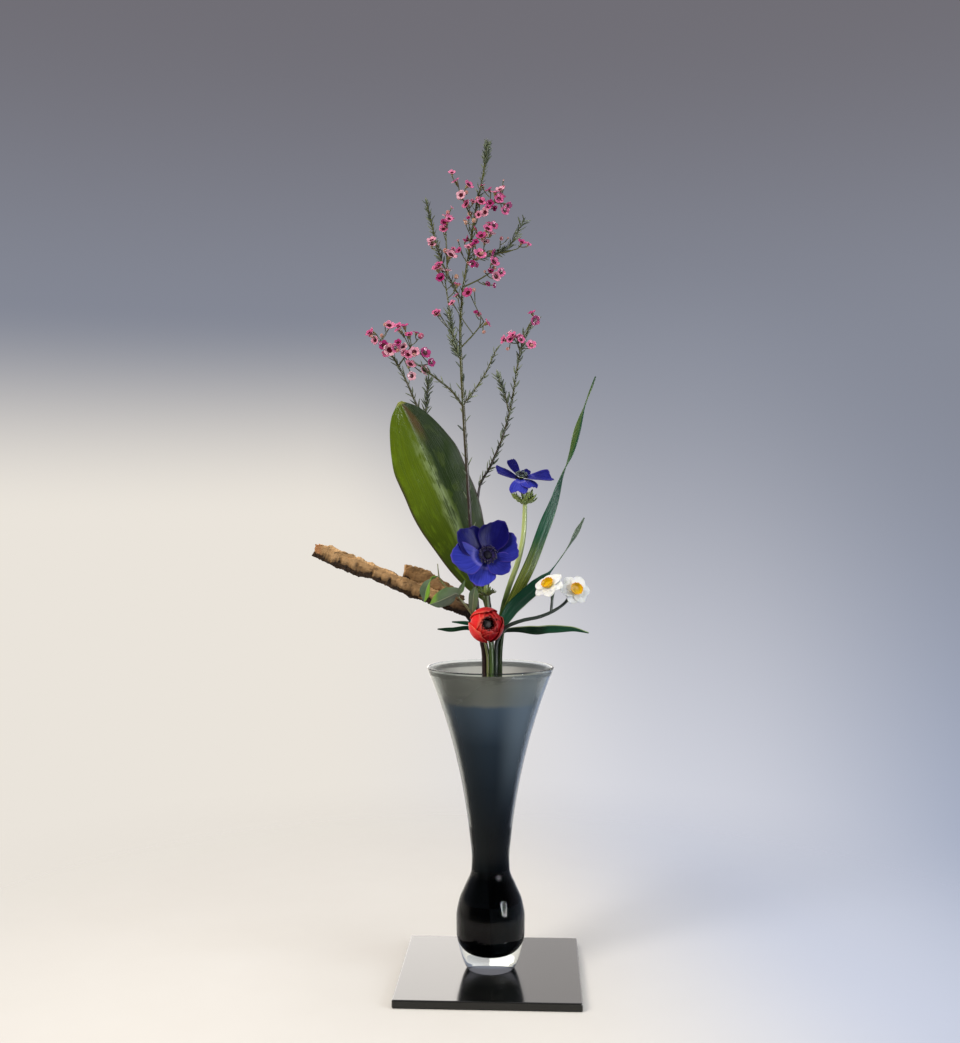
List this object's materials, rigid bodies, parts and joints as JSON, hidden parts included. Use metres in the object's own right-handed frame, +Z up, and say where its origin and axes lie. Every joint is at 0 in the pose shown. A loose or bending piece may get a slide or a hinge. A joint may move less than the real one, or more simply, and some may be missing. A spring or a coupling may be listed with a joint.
{
  "type": "ikebana arrangement",
  "caption": "Tall ikebana arrangement of cut flowers, leaves and bark in a flared smoke-glass vase on a square black board.",
  "frame": {"origin": "centre of the base board's underside, on the surface it stands on", "axes": "+Z up along the vase's axis; -Y to the front of the arrangement; +X to the right seen from the front"},
  "size_m": [0.2872, 0.18, 0.8441],
  "materials": {
    "lacquered_wood": "gloss black lacquer",
    "smoke_glass": "clear casing over a smoke-dark inner layer, polished",
    "weathered_bark": "rough, weathered",
    "aspidistra_leaf": "leathery leaf, half gloss",
    "waxflower_wood": "thin bark",
    "waxflower_petals": "waxy petals",
    "flower_stem": "soft green stem",
    "anemone_collar": "feathery green leaf",
    "anemone_centre": "velvety near-black",
    "anemone_petals": "satin petal",
    "ranunculus_petals": "satin petal",
    "narcissus_scape": "smooth green stalk",
    "narcissus_leaf": "waxy blue-green leaf",
    "narcissus_tepals": "satin white petal",
    "narcissus_corona": "satin yellow cup",
    "eucalyptus_twig": "thin bark",
    "eucalyptus_leaf": "matt grey-green leaf"
  },
  "bodies": {
    "root": {"anemone_back_centre": "anemone_centre", "anemone_back_collar": "anemone_collar", "anemone_back_petal_1": "anemone_petals", "anemone_back_petal_2": "anemone_petals", "anemone_back_petal_3": "anemone_petals", "anemone_back_petal_4": "anemone_petals", "anemone_back_petal_5": "anemone_petals", "anemone_back_petal_6": "anemone_petals", "anemone_back_stem": "flower_stem", "anemone_front_centre": "anemone_centre", "anemone_front_collar": "anemone_collar", "anemone_front_petal_1": "anemone_petals", "anemone_front_petal_2": "anemone_petals", "anemone_front_petal_3": "anemone_petals", "anemone_front_petal_4": "anemone_petals", "anemone_front_petal_5": "anemone_petals", "anemone_front_petal_6": "anemone_petals", "anemone_front_stem": "flower_stem", "aspidistra_leaf": "aspidistra_leaf", "bark_branch": "weathered_bark", "base_board": "lacquered_wood", "eucalyptus_leaf_broad": "eucalyptus_leaf", "eucalyptus_leaf_inner": "eucalyptus_leaf", "eucalyptus_leaf_outer": "eucalyptus_leaf", "eucalyptus_leaf_small": "eucalyptus_leaf", "eucalyptus_twig": "eucalyptus_twig", "glass_vase": "smoke_glass", "narcissus_leaf_left": "narcissus_leaf", "narcissus_leaf_middle": "narcissus_leaf", "narcissus_leaf_right": "narcissus_leaf", "narcissus_leaf_short": "narcissus_leaf", "narcissus_leaf_tall": "narcissus_leaf", "narcissus_left_corona": "narcissus_corona", "narcissus_left_tepals": "narcissus_tepals", "narcissus_right_corona": "narcissus_corona", "narcissus_right_tepals": "narcissus_tepals", "narcissus_scape": "narcissus_scape", "ranunculus_heart": "ranunculus_petals", "ranunculus_petal_1": "ranunculus_petals", "ranunculus_petal_2": "ranunculus_petals", "ranunculus_petal_3": "ranunculus_petals", "ranunculus_petal_4": "ranunculus_petals", "ranunculus_petal_5": "ranunculus_petals", "ranunculus_petal_6": "ranunculus_petals", "ranunculus_stem": "flower_stem", "waxflower_spray_cluster_left_inner": "waxflower_petals", "waxflower_spray_cluster_left_outer": "waxflower_petals", "waxflower_spray_cluster_right": "waxflower_petals", "waxflower_spray_crown_left": "waxflower_petals", "waxflower_spray_crown_right": "waxflower_petals", "waxflower_spray_far_right": "waxflower_petals", "waxflower_spray_left_high": "waxflower_petals", "waxflower_spray_left_middle": "waxflower_petals", "waxflower_spray_low_right": "waxflower_petals", "waxflower_spray_middle_right": "waxflower_petals", "waxflower_spray_small_right": "waxflower_petals", "waxflower_spray_upper_right": "waxflower_petals", "waxflower_stem_back": "waxflower_wood", "waxflower_stem_front": "waxflower_wood"}
  },
  "joints": []
}
